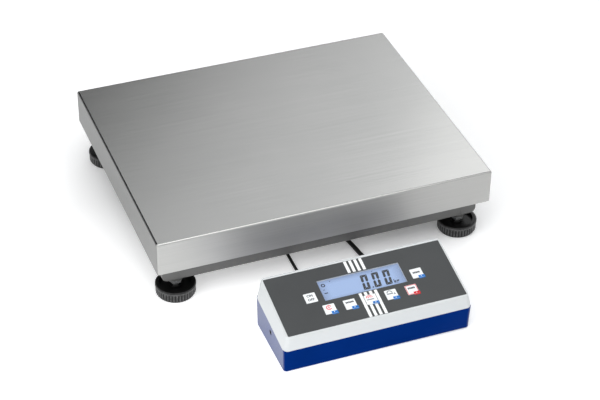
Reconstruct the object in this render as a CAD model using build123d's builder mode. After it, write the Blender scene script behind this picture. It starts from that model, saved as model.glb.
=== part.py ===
from build123d import *
import os
from math import sin, cos, tan, atan, radians, degrees, pi

# Platform scale: a 500 x 400 mm weighing platform on four levelling feet, and
# the desk display that it is cabled to. Millimetres, +Z up, +X to the right,
# +Y to the back. The origin is on the floor, below the middle of the box that
# holds the platform and the display.

os.makedirs("parts", exist_ok=True)

# ----------------------------------------------------------------- dimensions
# weighing plate
PLATE_W, PLATE_D, PLATE_T = 500.0, 400.0, 1.5
PLATE_TOP = 113.0
SKIRT_H = 52.0
PLATE_R = 3.0
PLATE_CY = 90.6                       # middle of the platform
# welded base frame, rectangular tube
RAIL_INSET_X, RAIL_INSET_Y = 11.8, 18.5
RAIL_BOT, RAIL_TOP = 30.5, 70.5
RAIL_FRONT_W, RAIL_SIDE_W = 30.0, 24.5
TUBE_T = 2.0
RAIL_END_R = 9.0
# base cross beam that carries the fixed end of the load cell
BEAM_X0, BEAM_X1, BEAM_TOP, BEAM_T = 30.0, 80.0, 48.5, 3.0
# load cell
CELL_L, CELL_W, CELL_H = 150.0, 35.0, 40.0
SPACER_T = 3.0
CELL_Z0 = BEAM_TOP + SPACER_T
CELL_Z1 = CELL_Z0 + CELL_H
CELL_HOLES = (45.0, 65.0)             # from the middle, each way
M8_R, M8_HEAD_R, M8_HEAD_H = 4.0, 6.5, 8.0
# top frame
TOPF_W, TOPF_D, TOPF_BAR, TOPF_H, TOPF_T = 486.0, 386.0, 25.0, 14.0, 2.0
TOPF_Z0 = CELL_Z1 + SPACER_T
TOPF_Z1 = TOPF_Z0 + TOPF_H
CHAN_X0, CHAN_X1, CHAN_T = -80.0, -30.0, 3.0
PAD_R, PAD_H, PEG_R, PEG_H = 9.0, 3.0, 3.0, 6.0
# overload stops
STOP_X, STOP_DY, STOP_GAP = 228.25, 170.0, 0.8
# levelling feet
FOOT_X, FOOT_DY = 215.5, 168.6        # from the middle of the platform
KNOB_R, KNOB_Z0, KNOB_TOP, DISH_R, DISH_Z = 28.8, 3.0, 18.3, 23.0, 13.5
SOLE_R, STEM_R, STEM_H = 26.5, 6.0, 5.0
STUD_R, STUD_TOP, HUB_R, HUB_TOP = 5.0, 62.0, 9.0, 15.0
NUT_AF, NUT_H, BOSS_R, BOSS_H = 17.0, 6.0, 11.5, 4.0
RUN = 0.05                            # running clearance on the threads
# display housing, in its own left-front corner frame
DX0, DY0 = -133.8, -290.6
DW, DD = 272.5, 110.0
DZ0 = 1.0                             # underside, above its rubber feet
SPLIT_Z, SPLIT_M = 36.9, 0.1146       # parting plane: height at front, slope
TOP_Z, TOP_M = 58.22, 0.2048          # keypad face: height at front, slope
WALL = 2.5
BASE_IN = 1.0                         # the lower shell tapers in by this
TOP_IN = 4.5                          # the upper shell tapers in by this
HOUSING_R = 7.0
# keypad, along the sloping face
FOIL_X0, FOIL_X1, FOIL_S0, FOIL_S1 = 7.2, 265.0, 3.9, 104.4
LCD_X0, LCD_X1, LCD_S0, LCD_S1 = 76.2, 195.8, 47.1, 82.7
KEY_W, KEY_D, KEY_GAP = 16.5, 16.0, 0.2
KEYS = [(58.6, 57.3), (77.0, 32.4), (106.3, 32.4), (136.4, 32.4),
        (166.0, 32.4), (196.0, 32.4), (213.5, 57.3)]
# cables
SIG_D, PWR_D = 6.6, 4.6

CX = DX0 + DW / 2                     # middle of the display, in x
SA, TA = atan(SPLIT_M), atan(TOP_M)
FEET = {"fl": (-FOOT_X, PLATE_CY - FOOT_DY), "fr": (FOOT_X, PLATE_CY - FOOT_DY),
        "bl": (-FOOT_X, PLATE_CY + FOOT_DY), "br": (FOOT_X, PLATE_CY + FOOT_DY)}

split_plane = Plane(origin=(CX, DY0, SPLIT_Z), x_dir=(1, 0, 0), z_dir=(0, -sin(SA), cos(SA)))
top_plane = Plane(origin=(CX, DY0, TOP_Z), x_dir=(1, 0, 0), z_dir=(0, -sin(TA), cos(TA)))


def fx(x):
    """x on the keypad face from x measured off the housing's left side."""
    return x - DW / 2


def save(builder, label):
    builder.part.label = label
    export_step(builder.part, "parts/" + label + ".step")
    print(label, "solids", len(builder.part.solids()), "volume", round(builder.part.volume))


# ------------------------------------------------------------- weighing plate
# folded stainless sheet: flat top, four skirts, welded and dressed corners
with BuildPart() as weighing_plate:
    with BuildSketch(Plane((0, PLATE_CY, PLATE_TOP - SKIRT_H))):
        RectangleRounded(PLATE_W, PLATE_D, PLATE_R)
    extrude(amount=SKIRT_H)
    fillet(weighing_plate.faces().sort_by(Axis.Z)[-1].edges(), PLATE_R - 0.2)
    with BuildSketch(Plane((0, PLATE_CY, PLATE_TOP - SKIRT_H))):
        RectangleRounded(PLATE_W - 2 * PLATE_T, PLATE_D - 2 * PLATE_T, PLATE_R - PLATE_T)
    extrude(amount=SKIRT_H - PLATE_T, mode=Mode.SUBTRACT)
save(weighing_plate, "weighing_plate")

# ------------------------------------------------------------------ base frame
RX, RY = PLATE_W / 2 - RAIL_INSET_X, PLATE_D / 2 - RAIL_INSET_Y
WIN_X, WIN_Y = RX - RAIL_SIDE_W, RY - RAIL_FRONT_W
with BuildPart() as base_frame:
    # the ring of tube
    with BuildSketch(Plane((0, PLATE_CY, RAIL_BOT))):
        Rectangle(2 * RX, 2 * RY)
    extrude(amount=RAIL_TOP - RAIL_BOT)
    fillet(base_frame.edges().filter_by(Axis.Y).group_by(Axis.Z)[0], RAIL_END_R)
    fillet(base_frame.edges().filter_by(Axis.X).group_by(Axis.Z)[0], 1.5)
    with BuildSketch(Plane((0, PLATE_CY, RAIL_BOT - 1))):
        Rectangle(2 * WIN_X, 2 * WIN_Y)
    extrude(amount=RAIL_TOP - RAIL_BOT + 2, mode=Mode.SUBTRACT)
    # the hollow of the tube
    with BuildSketch(Plane((0, PLATE_CY, RAIL_BOT + TUBE_T))):
        Rectangle(2 * (RX - TUBE_T), 2 * (RY - TUBE_T))
        Rectangle(2 * (WIN_X + TUBE_T), 2 * (WIN_Y + TUBE_T), mode=Mode.SUBTRACT)
    extrude(amount=RAIL_TOP - RAIL_BOT - 2 * TUBE_T, mode=Mode.SUBTRACT)
    # rounded tube ends keep their wall inside the corner
    for sx in (-1, 1):
        with BuildSketch(Plane.XZ.offset(-(PLATE_CY - RY + TUBE_T))):
            with BuildLine():
                Line((sx * (RX - TUBE_T), RAIL_BOT + TUBE_T), (sx * (RX - TUBE_T), RAIL_BOT + RAIL_END_R))
                Line((sx * (RX - TUBE_T), RAIL_BOT + RAIL_END_R), (sx * (RX - RAIL_END_R), RAIL_BOT + TUBE_T))
                Line((sx * (RX - RAIL_END_R), RAIL_BOT + TUBE_T), (sx * (RX - TUBE_T), RAIL_BOT + TUBE_T))
            make_face()
        extrude(amount=-2 * (RY - TUBE_T))
    # fine joint lines where the front and rear rails meet the side rails
    with BuildSketch(Plane((0, PLATE_CY, RAIL_BOT - 1))):
        with GridLocations(2 * WIN_X, 2 * RY, 2, 2):
            Rectangle(0.6, 0.7)
    extrude(amount=RAIL_TOP - RAIL_BOT + 2, mode=Mode.SUBTRACT)
    # cross beam under the load cell, a tube with open access holes
    with BuildSketch(Plane(((BEAM_X0 + BEAM_X1) / 2, PLATE_CY, RAIL_BOT))):
        Rectangle(BEAM_X1 - BEAM_X0, 2 * WIN_Y)
    extrude(amount=BEAM_TOP - RAIL_BOT)
    with BuildSketch(Plane(((BEAM_X0 + BEAM_X1) / 2, PLATE_CY, RAIL_BOT + BEAM_T))):
        Rectangle(BEAM_X1 - BEAM_X0 - 2 * BEAM_T, 2 * WIN_Y)
    extrude(amount=BEAM_TOP - RAIL_BOT - 2 * BEAM_T, mode=Mode.SUBTRACT)
    with BuildSketch(Plane((0, PLATE_CY, RAIL_BOT - 1))):
        with Locations(*[(x, 0) for x in CELL_HOLES]):
            Circle(8.5)
    extrude(amount=BEAM_T + 2, mode=Mode.SUBTRACT)
    with BuildSketch(Plane((0, PLATE_CY, BEAM_TOP + 1))):
        with Locations(*[(x, 0) for x in CELL_HOLES]):
            Circle(M8_R + 0.5)
    extrude(amount=-BEAM_T - 2, mode=Mode.SUBTRACT)
    # welded bosses for the feet, drilled through
    with BuildSketch(Plane((0, PLATE_CY, RAIL_BOT - BOSS_H))):
        with GridLocations(2 * FOOT_X, 2 * FOOT_DY, 2, 2):
            Circle(BOSS_R)
    extrude(amount=BOSS_H)
    with BuildSketch(Plane((0, PLATE_CY, RAIL_BOT - BOSS_H - 1))):
        with GridLocations(2 * FOOT_X, 2 * FOOT_DY, 2, 2):
            Circle(STUD_R + RUN)
    extrude(amount=BOSS_H + TUBE_T + 2, mode=Mode.SUBTRACT)
    # holes for the overload stops, in the top wall
    with BuildSketch(Plane((0, PLATE_CY, RAIL_TOP + 1))):
        with GridLocations(2 * STOP_X, 2 * STOP_DY, 2, 2):
            Circle(M8_R + RUN)
    extrude(amount=-TUBE_T - 2, mode=Mode.SUBTRACT)
save(base_frame, "base_frame")

# lock nuts of the four feet
with BuildPart() as foot_lock_nuts:
    with BuildSketch(Plane((0, PLATE_CY, RAIL_BOT - BOSS_H - NUT_H))):
        with GridLocations(2 * FOOT_X, 2 * FOOT_DY, 2, 2):
            RegularPolygon(NUT_AF / 2, 6, major_radius=False)
            Circle(STUD_R + RUN, mode=Mode.SUBTRACT)
    extrude(amount=NUT_H)
save(foot_lock_nuts, "foot_lock_nuts")

# --------------------------------------------------------------- load cell set
with BuildPart() as lower_cell_spacer:
    with BuildSketch(Plane((55.0, PLATE_CY, BEAM_TOP))):
        Rectangle(40, CELL_W)
        with Locations((CELL_HOLES[0] - 55, 0), (CELL_HOLES[1] - 55, 0)):
            Circle(M8_R + 0.5, mode=Mode.SUBTRACT)
    extrude(amount=SPACER_T)
save(lower_cell_spacer, "lower_cell_spacer")

with BuildPart() as load_cell:
    with BuildSketch(Plane((0, PLATE_CY, CELL_Z0))):
        Rectangle(CELL_L, CELL_W)
    extrude(amount=CELL_H)
    fillet(load_cell.edges().filter_by(Axis.Y), 1.5)
    # the double-hole opening that makes the bending springs
    with BuildSketch(Plane.XZ.offset(-(PLATE_CY - CELL_W / 2 - 1))):
        with Locations((-14, CELL_Z0 + CELL_H / 2), (14, CELL_Z0 + CELL_H / 2)):
            Circle(15.5)
        with Locations((0, CELL_Z0 + CELL_H / 2)):
            Rectangle(28, 16)
    extrude(amount=-(CELL_W + 2), mode=Mode.SUBTRACT)
    # tapped holes: fixed end from below, loaded end from above
    with BuildSketch(Plane((0, PLATE_CY, CELL_Z0 - 1))):
        with Locations(*[(x, 0) for x in CELL_HOLES]):
            Circle(M8_R + RUN)
    extrude(amount=16, mode=Mode.SUBTRACT)
    with BuildSketch(Plane((0, PLATE_CY, CELL_Z1 + 1))):
        with Locations(*[(-x, 0) for x in CELL_HOLES]):
            Circle(M8_R + RUN)
    extrude(amount=-16, mode=Mode.SUBTRACT)
save(load_cell, "load_cell")

with BuildPart() as lower_cell_screws:
    with BuildSketch(Plane((0, PLATE_CY, BEAM_TOP - BEAM_T))):
        with Locations(*[(x, 0) for x in CELL_HOLES]):
            Circle(M8_HEAD_R)
    extrude(amount=-M8_HEAD_H)
    with BuildSketch(Plane((0, PLATE_CY, BEAM_TOP - BEAM_T))):
        with Locations(*[(x, 0) for x in CELL_HOLES]):
            Circle(M8_R)
    extrude(amount=19)
    with BuildSketch(Plane((0, PLATE_CY, BEAM_TOP - BEAM_T - M8_HEAD_H))):
        with Locations(*[(x, 0) for x in CELL_HOLES]):
            RegularPolygon(3.0, 6, major_radius=False)
    extrude(amount=4, mode=Mode.SUBTRACT)
save(lower_cell_screws, "lower_cell_screws")

with BuildPart() as upper_cell_spacer:
    with BuildSketch(Plane((-55.0, PLATE_CY, CELL_Z1))):
        Rectangle(40, CELL_W)
        with Locations((55 - CELL_HOLES[0], 0), (55 - CELL_HOLES[1], 0)):
            Circle(M8_R + 0.5, mode=Mode.SUBTRACT)
    extrude(amount=SPACER_T)
save(upper_cell_spacer, "upper_cell_spacer")

with BuildPart() as upper_cell_screws:
    with BuildSketch(Plane((0, PLATE_CY, TOPF_Z0 + CHAN_T))):
        with Locations(*[(-x, 0) for x in CELL_HOLES]):
            Circle(M8_HEAD_R)
    extrude(amount=M8_HEAD_H)
    with BuildSketch(Plane((0, PLATE_CY, TOPF_Z0 + CHAN_T))):
        with Locations(*[(-x, 0) for x in CELL_HOLES]):
            Circle(M8_R)
    extrude(amount=-18)
    with BuildSketch(Plane((0, PLATE_CY, TOPF_Z0 + CHAN_T + M8_HEAD_H))):
        with Locations(*[(-x, 0) for x in CELL_HOLES]):
            RegularPolygon(3.0, 6, major_radius=False)
    extrude(amount=-4, mode=Mode.SUBTRACT)
save(upper_cell_screws, "upper_cell_screws")

# rubber boot where the signal cable enters the side of the load cell
BOOT = (22.0, PLATE_CY + CELL_W / 2, 74.0)
BOOT_L = 12.0
with BuildPart() as cell_cable_boot:
    with BuildSketch(Plane(BOOT, x_dir=(1, 0, 0), z_dir=(0, 1, 0))):
        Circle(6.0)
    with BuildSketch(Plane((BOOT[0], BOOT[1] + BOOT_L, BOOT[2]), x_dir=(1, 0, 0), z_dir=(0, 1, 0))):
        Circle(4.2)
    loft()
save(cell_cable_boot, "cell_cable_boot")

# ------------------------------------------------------------------ top frame
PADS = [(x, y) for x in (-228.0, 0.0, 228.0) for y in (-178.0, 178.0)]
with BuildPart() as top_frame:
    with BuildSketch(Plane((0, PLATE_CY, TOPF_Z0))):
        RectangleRounded(TOPF_W, TOPF_D, 4)
        Rectangle(TOPF_W - 2 * TOPF_BAR, TOPF_D - 2 * TOPF_BAR, mode=Mode.SUBTRACT)
    extrude(amount=TOPF_H)
    with BuildSketch(Plane((0, PLATE_CY, TOPF_Z0 + TOPF_T))):
        RectangleRounded(TOPF_W - 2 * TOPF_T, TOPF_D - 2 * TOPF_T, 2)
        Rectangle(TOPF_W - 2 * TOPF_BAR + 2 * TOPF_T, TOPF_D - 2 * TOPF_BAR + 2 * TOPF_T, mode=Mode.SUBTRACT)
    extrude(amount=TOPF_H - 2 * TOPF_T, mode=Mode.SUBTRACT)
    # upright channel that takes the loaded end of the cell
    with BuildSketch(Plane(((CHAN_X0 + CHAN_X1) / 2, PLATE_CY, TOPF_Z0))):
        Rectangle(CHAN_X1 - CHAN_X0, TOPF_D - 2 * TOPF_BAR)
    extrude(amount=TOPF_H)
    with BuildSketch(Plane(((CHAN_X0 + CHAN_X1) / 2, PLATE_CY, TOPF_Z0 + CHAN_T))):
        Rectangle(CHAN_X1 - CHAN_X0 - 2 * CHAN_T, TOPF_D - 2 * TOPF_BAR)
    extrude(amount=TOPF_H, mode=Mode.SUBTRACT)
    with BuildSketch(Plane((0, PLATE_CY, TOPF_Z0 - 1))):
        with Locations(*[(-x, 0) for x in CELL_HOLES]):
            Circle(M8_R + 0.5)
    extrude(amount=CHAN_T + 2, mode=Mode.SUBTRACT)
    with BuildSketch(Plane((0, PLATE_CY, TOPF_Z1 + 1))):
        with Locations(*PADS):
            Circle(PEG_R + RUN)
    extrude(amount=-TOPF_T - 2, mode=Mode.SUBTRACT)
save(top_frame, "top_frame")

with BuildPart() as plate_buffers:
    with BuildSketch(Plane((0, PLATE_CY, TOPF_Z1))):
        with Locations(*PADS):
            Circle(PAD_R)
    extrude(amount=PAD_H)
    fillet(plate_buffers.faces().filter_by(Axis.Z).group_by(Axis.Z)[-1].edges(), 0.8)
    with BuildSketch(Plane((0, PLATE_CY, TOPF_Z1))):
        with Locations(*PADS):
            Circle(PEG_R)
    extrude(amount=-PEG_H)
save(plate_buffers, "plate_buffers")

# ------------------------------------------------------------- overload stops
STOP_HEAD = 5.3
STOP_TOP = TOPF_Z0 - STOP_GAP
with BuildPart() as overload_stop_screws:
    with BuildSketch(Plane((0, PLATE_CY, STOP_TOP - STOP_HEAD))):
        with GridLocations(2 * STOP_X, 2 * STOP_DY, 2, 2):
            RegularPolygon(6.5, 6, major_radius=False)
    extrude(amount=STOP_HEAD)
    with BuildSketch(Plane((0, PLATE_CY, 58))):
        with GridLocations(2 * STOP_X, 2 * STOP_DY, 2, 2):
            Circle(M8_R)
    extrude(amount=STOP_TOP - STOP_HEAD - 58)
save(overload_stop_screws, "overload_stop_screws")

with BuildPart() as overload_stop_nuts:
    with BuildSketch(Plane((0, PLATE_CY, RAIL_TOP))):
        with GridLocations(2 * STOP_X, 2 * STOP_DY, 2, 2):
            RegularPolygon(6.5, 6, major_radius=False)
            Circle(M8_R + RUN, mode=Mode.SUBTRACT)
    extrude(amount=6.5)
save(overload_stop_nuts, "overload_stop_nuts")

# ---------------------------------------------------------------- spirit level
LEVEL = (-170.0, PLATE_CY - RY + RAIL_FRONT_W / 2, RAIL_TOP)
with BuildPart() as level_housing:
    with BuildSketch(Plane(LEVEL)):
        Circle(11)
    extrude(amount=9)
    fillet(level_housing.faces().sort_by(Axis.Z)[-1].edges(), 1.0)
    with BuildSketch(Plane((LEVEL[0], LEVEL[1], LEVEL[2] + 2))):
        Circle(8.6)
    extrude(amount=9, mode=Mode.SUBTRACT)
save(level_housing, "level_housing")

with BuildPart() as level_vial:
    with BuildSketch(Plane((LEVEL[0], LEVEL[1], LEVEL[2] + 2))):
        Circle(8.5)
    extrude(amount=7.5)
    fillet(level_vial.faces().sort_by(Axis.Z)[-1].edges(), 1.2)
save(level_vial, "level_vial")

# -------------------------------------------------------------- levelling feet
# a rubber sole that stays still on the floor, a knurled knob that turns on it,
# and the threaded stud moulded into the knob
for tag, (px, py) in FEET.items():
    with BuildPart() as foot_sole:
        with BuildSketch(Plane((px, py, 0))):
            Circle(SOLE_R)
        extrude(amount=KNOB_Z0)
        chamfer(foot_sole.faces().sort_by(Axis.Z)[0].edges(), 0.6)
        with BuildSketch(Plane((px, py, KNOB_Z0))):
            Circle(STEM_R)
        extrude(amount=STEM_H)
    save(foot_sole, "foot_sole_" + tag)

    with BuildPart() as foot_knob:
        with BuildSketch(Plane((px, py, KNOB_Z0))):
            Circle(KNOB_R - 0.5)
            with PolarLocations(KNOB_R - 0.05, 40):
                Circle(1.4, mode=Mode.SUBTRACT)
        extrude(amount=11.6)
        # smooth raised rim above the grip
        with BuildSketch(Plane((px, py, KNOB_Z0 + 11.6))):
            Circle(KNOB_R - 0.9)
        extrude(amount=KNOB_TOP - KNOB_Z0 - 11.6)
        with BuildSketch(Plane((px, py, KNOB_Z0 + 11.0))):
            Circle(KNOB_R)
            Circle(KNOB_R - 3.0, mode=Mode.SUBTRACT)
        extrude(amount=2.4)
        fillet(foot_knob.faces().sort_by(Axis.Z)[-1].edges(), 1.2)
        with BuildSketch(Plane((px, py, DISH_Z))):
            Circle(DISH_R)
        extrude(amount=KNOB_TOP - DISH_Z + 1, mode=Mode.SUBTRACT)
        with BuildSketch(Plane((px, py, DISH_Z - 1))):
            Circle(HUB_R)
        extrude(amount=HUB_TOP - DISH_Z + 1)
        with BuildSketch(Plane((px, py, KNOB_Z0 - 1))):
            Circle(STEM_R + RUN)
        extrude(amount=STEM_H + 1.3, mode=Mode.SUBTRACT)
        with BuildSketch(Plane((px, py, 9.0))):
            Circle(STUD_R)
        extrude(amount=12, mode=Mode.SUBTRACT)
    save(foot_knob, "foot_knob_" + tag)

    with BuildPart() as foot_stud:
        with BuildSketch(Plane((px, py, 9.0))):
            Circle(STUD_R)
        extrude(amount=STUD_TOP - 9.0)
        chamfer(foot_stud.faces().sort_by(Axis.Z)[-1].edges(), 0.9)
    save(foot_stud, "foot_stud_" + tag)

# ------------------------------------------------------------- display housing
S_MID = DD / 2 / cos(SA)
T0, T1 = 1.3, 107.2                   # the keypad face's own front and back, in y
T_MID, T_LEN = (T0 + T1) / 2 / cos(TA), (T1 - T0) / cos(TA)
POSTS = [(14.0, 14.0), (256.0, 14.0), (14.0, 96.0), (256.0, 96.0)]
POST_Z = 36.0
GLAND_X, GLAND_Z = 195.8, 25.0
JACK_X, JACK_Z = 88.8, 20.0
BUSH_Y, BUSH_Z = 52.0, 30.0


def rear_y(z):
    """outside of the lower shell's back wall at the height z."""
    zs = SPLIT_Z + SPLIT_M * DD
    return DY0 + DD - BASE_IN * (zs - z) / (zs - DZ0)


def side_in(z):
    """how far the lower shell's side wall stands in, halfway back."""
    zs = SPLIT_Z + SPLIT_M * BUSH_Y
    return BASE_IN * (zs - z) / (zs - DZ0)


BAT_CX, BAT_CY, BAT_W, BAT_D = CX, DY0 + 55.0, 112.0, 50.0
with BuildPart() as display_base:
    with BuildSketch(Plane((CX, DY0 + DD / 2, DZ0))):
        RectangleRounded(DW - 2 * BASE_IN, DD - 2 * BASE_IN, HOUSING_R - 2)
    with BuildSketch(split_plane):
        with Locations((0, S_MID)):
            RectangleRounded(DW, DD / cos(SA), HOUSING_R - 2)
    loft()
    fillet(display_base.faces().sort_by(Axis.Z)[0].edges(), 1.2)
    # the hollow
    with BuildSketch(Plane((CX, DY0 + DD / 2, DZ0 + WALL))):
        RectangleRounded(DW - 2 * BASE_IN - 2 * WALL, DD - 2 * BASE_IN - 2 * WALL, 2.5)
    with BuildSketch(split_plane.offset(0.01)):
        with Locations((0, S_MID)):
            RectangleRounded(DW - 2 * WALL, DD / cos(SA) - 2 * WALL, 2.5)
    loft(mode=Mode.SUBTRACT)
    # battery compartment: rim and opening in the floor
    with BuildSketch(Plane((BAT_CX, BAT_CY, DZ0 + WALL - 0.5))):
        Rectangle(BAT_W + 4, BAT_D + 4)
        Rectangle(BAT_W, BAT_D, mode=Mode.SUBTRACT)
    extrude(amount=26)
    with BuildSketch(Plane((BAT_CX, BAT_CY, DZ0 - 1))):
        Rectangle(BAT_W, BAT_D)
    extrude(amount=WALL + 2, mode=Mode.SUBTRACT)
    # screw posts, counterbored from below
    with BuildSketch(Plane((DX0, DY0, DZ0 + WALL - 0.5))):
        with Locations(*POSTS):
            Circle(4.5)
    extrude(amount=POST_Z - DZ0 - WALL + 0.5)
    with BuildSketch(Plane((DX0, DY0, DZ0 - 1))):
        with Locations(*POSTS):
            Circle(3.2)
    extrude(amount=19, mode=Mode.SUBTRACT)
    with BuildSketch(Plane((DX0, DY0, DZ0 - 1))):
        with Locations(*POSTS):
            Circle(1.7)
    extrude(amount=POST_Z, mode=Mode.SUBTRACT)
    # holes in the back wall: cable gland and power socket
    with BuildSketch(Plane((DX0 + GLAND_X, DY0 + DD - 9, GLAND_Z), x_dir=(1, 0, 0), z_dir=(0, 1, 0))):
        Circle(6.0)
    extrude(amount=14, mode=Mode.SUBTRACT)
    with BuildSketch(Plane((DX0 + JACK_X, DY0 + DD - 9, JACK_Z), x_dir=(1, 0, 0), z_dir=(0, 1, 0))):
        Circle(4.0)
    extrude(amount=14, mode=Mode.SUBTRACT)
    # holes in the side walls for the bracket bushes
    with BuildSketch(Plane((DX0 - 2, DY0 + BUSH_Y, BUSH_Z), x_dir=(0, 1, 0), z_dir=(1, 0, 0))):
        Circle(4.0)
    extrude(amount=8, mode=Mode.SUBTRACT)
    with BuildSketch(Plane((DX0 + DW + 2, DY0 + BUSH_Y, BUSH_Z), x_dir=(0, 1, 0), z_dir=(1, 0, 0))):
        Circle(4.0)
    extrude(amount=-8, mode=Mode.SUBTRACT)
save(display_base, "display_base")

BOARD = [(36.0, 18.0), (234.0, 18.0), (36.0, 92.0), (234.0, 92.0)]
with BuildPart() as display_cover:
    with BuildSketch(split_plane):
        with Locations((0, S_MID)):
            RectangleRounded(DW, DD / cos(SA), HOUSING_R)
    with BuildSketch(top_plane):
        with Locations((0, T_MID)):
            RectangleRounded(DW - 2 * TOP_IN, T_LEN, HOUSING_R)
    loft()
    fillet(display_cover.faces().sort_by(Axis.Z)[-1].edges(), 2.0)
    with BuildSketch(split_plane.offset(-0.01)):
        with Locations((0, S_MID)):
            RectangleRounded(DW - 2 * WALL, DD / cos(SA) - 2 * WALL, HOUSING_R - WALL)
    with BuildSketch(top_plane.offset(-3.0)):
        with Locations((0, T_MID)):
            RectangleRounded(DW - 2 * TOP_IN - 2 * WALL - 0.6, T_LEN - 2 * WALL - 1, HOUSING_R - WALL)
    loft(mode=Mode.SUBTRACT)
    # bosses for the housing screws
    with BuildSketch(Plane((DX0, DY0, POST_Z))):
        with Locations(*POSTS[:2]):
            Circle(4.0)
    extrude(amount=59.0 - POST_Z)
    with BuildSketch(Plane((DX0, DY0, POST_Z))):
        with Locations(*POSTS[2:]):
            Circle(4.0)
    extrude(amount=76.2 - POST_Z)
    with BuildSketch(Plane((DX0, DY0, POST_Z - 1))):
        with Locations(*POSTS):
            Circle(1.5)
    extrude(amount=13, mode=Mode.SUBTRACT)
    # bosses for the board
    with BuildSketch(top_plane.offset(-9.9)):
        with Locations(*[(fx(x), s) for x, s in BOARD]):
            Circle(3.0)
    extrude(amount=7.5)
    with BuildSketch(top_plane.offset(-10.9)):
        with Locations(*[(fx(x), s) for x, s in BOARD]):
            Circle(1.25)
    extrude(amount=6.4, mode=Mode.SUBTRACT)
    # recess for the keypad foil, the window's step and its opening
    with BuildSketch(top_plane.offset(-0.5)):
        with Locations((fx((FOIL_X0 + FOIL_X1) / 2), (FOIL_S0 + FOIL_S1) / 2)):
            RectangleRounded(FOIL_X1 - FOIL_X0 + 0.2, FOIL_S1 - FOIL_S0 + 0.2, 1.6)
    extrude(amount=5, mode=Mode.SUBTRACT)
    LCX, LCS = fx((LCD_X0 + LCD_X1) / 2), (LCD_S0 + LCD_S1) / 2
    with BuildSketch(top_plane.offset(-0.9)):
        with Locations((LCX, LCS)):
            Rectangle(LCD_X1 - LCD_X0 + 4.0, LCD_S1 - LCD_S0 + 4.0)
    extrude(amount=3, mode=Mode.SUBTRACT)
    with BuildSketch(top_plane.offset(-5)):
        with Locations((LCX, LCS)):
            Rectangle(LCD_X1 - LCD_X0, LCD_S1 - LCD_S0)
    extrude(amount=8, mode=Mode.SUBTRACT)
    # pockets under the keys
    with BuildSketch(top_plane.offset(-1.9)):
        with Locations(*[(fx(x), s) for x, s in KEYS]):
            Rectangle(KEY_W + 0.6, KEY_D + 0.6)
    extrude(amount=4, mode=Mode.SUBTRACT)
save(display_cover, "display_cover")

with BuildPart() as keypad_foil:
    with BuildSketch(top_plane.offset(-0.5)):
        with Locations((fx((FOIL_X0 + FOIL_X1) / 2), (FOIL_S0 + FOIL_S1) / 2)):
            RectangleRounded(FOIL_X1 - FOIL_X0, FOIL_S1 - FOIL_S0, 1.5)
        with Locations((LCX, LCS)):
            Rectangle(LCD_X1 - LCD_X0, LCD_S1 - LCD_S0, mode=Mode.SUBTRACT)
        with Locations(*[(fx(x), s) for x, s in KEYS]):
            Rectangle(KEY_W + 2 * KEY_GAP, KEY_D + 2 * KEY_GAP, mode=Mode.SUBTRACT)
    extrude(amount=0.6)
save(keypad_foil, "keypad_foil")

with BuildPart() as lcd_window:
    with BuildSketch(top_plane.offset(-0.9)):
        with Locations((LCX, LCS)):
            Rectangle(LCD_X1 - LCD_X0 + 3.8, LCD_S1 - LCD_S0 + 3.8)
    extrude(amount=0.4)
save(lcd_window, "lcd_window")

with BuildPart() as lcd_panel:
    with BuildSketch(top_plane.offset(-5.9)):
        with Locations((LCX, LCS)):
            Rectangle(LCD_X1 - LCD_X0 + 9, LCD_S1 - LCD_S0 + 9)
    extrude(amount=2.8)
save(lcd_panel, "lcd_panel")

with BuildPart() as lcd_backlight:
    with BuildSketch(top_plane.offset(-9.9)):
        with Locations((LCX, LCS)):
            Rectangle(LCD_X1 - LCD_X0 + 9, LCD_S1 - LCD_S0 + 9)
    extrude(amount=4.0)
save(lcd_backlight, "lcd_backlight")

with BuildPart() as main_board:
    with BuildSketch(top_plane.offset(-11.5)):
        with Locations((0, 55.0)):
            Rectangle(210, 84)
        with Locations(*[(fx(x), s) for x, s in BOARD]):
            Circle(1.6, mode=Mode.SUBTRACT)
    extrude(amount=1.6)
    # processor, converter and connector on the underside
    with BuildSketch(top_plane.offset(-11.5)):
        with Locations((-40, 50), (25, 58)):
            Rectangle(12, 12)
        with Locations((70, 84)):
            Rectangle(20, 7)
    extrude(amount=-2.4)
save(main_board, "main_board")

with BuildPart() as board_screws:
    with BuildSketch(top_plane.offset(-11.5)):
        with Locations(*[(fx(x), s) for x, s in BOARD]):
            Circle(2.4)
    extrude(amount=-1.7)
    with BuildSketch(top_plane.offset(-11.5)):
        with Locations(*[(fx(x), s) for x, s in BOARD]):
            Circle(1.2)
    extrude(amount=6.2)
save(board_screws, "board_screws")

with BuildPart() as key_domes:
    with BuildSketch(top_plane.offset(-1.9)):
        with Locations(*[(fx(x), s) for x, s in KEYS]):
            Circle(5.5)
    extrude(amount=0.5)
save(key_domes, "key_domes")

for i, (kx, ks) in enumerate(KEYS):
    with BuildPart() as key:
        with BuildSketch(top_plane.offset(-0.5)):
            with Locations((fx(kx), ks)):
                RectangleRounded(KEY_W, KEY_D, 0.8)
        extrude(amount=0.8)
    save(key, "key_%d" % (i + 1))

with BuildPart() as battery_pack:
    with BuildSketch(Plane((BAT_CX, BAT_CY, DZ0 + WALL + 0.4))):
        RectangleRounded(BAT_W - 6, BAT_D - 4, 3)
    extrude(amount=22)
    fillet(battery_pack.faces().sort_by(Axis.Z)[-1].edges(), 1.5)
save(battery_pack, "battery_pack")

with BuildPart() as battery_cover:
    with BuildSketch(Plane((BAT_CX, BAT_CY, DZ0 + 0.1))):
        RectangleRounded(BAT_W - 0.6, BAT_D - 0.6, 1)
    extrude(amount=WALL - 0.3)
    with BuildSketch(Plane((BAT_CX, BAT_CY - 14, DZ0 + 0.1))):
        Rectangle(26, 1.2)
        with Locations((0, 2.6), (0, 5.2)):
            Rectangle(26, 1.2)
    extrude(amount=0.8, mode=Mode.SUBTRACT)
save(battery_cover, "battery_cover")

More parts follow.
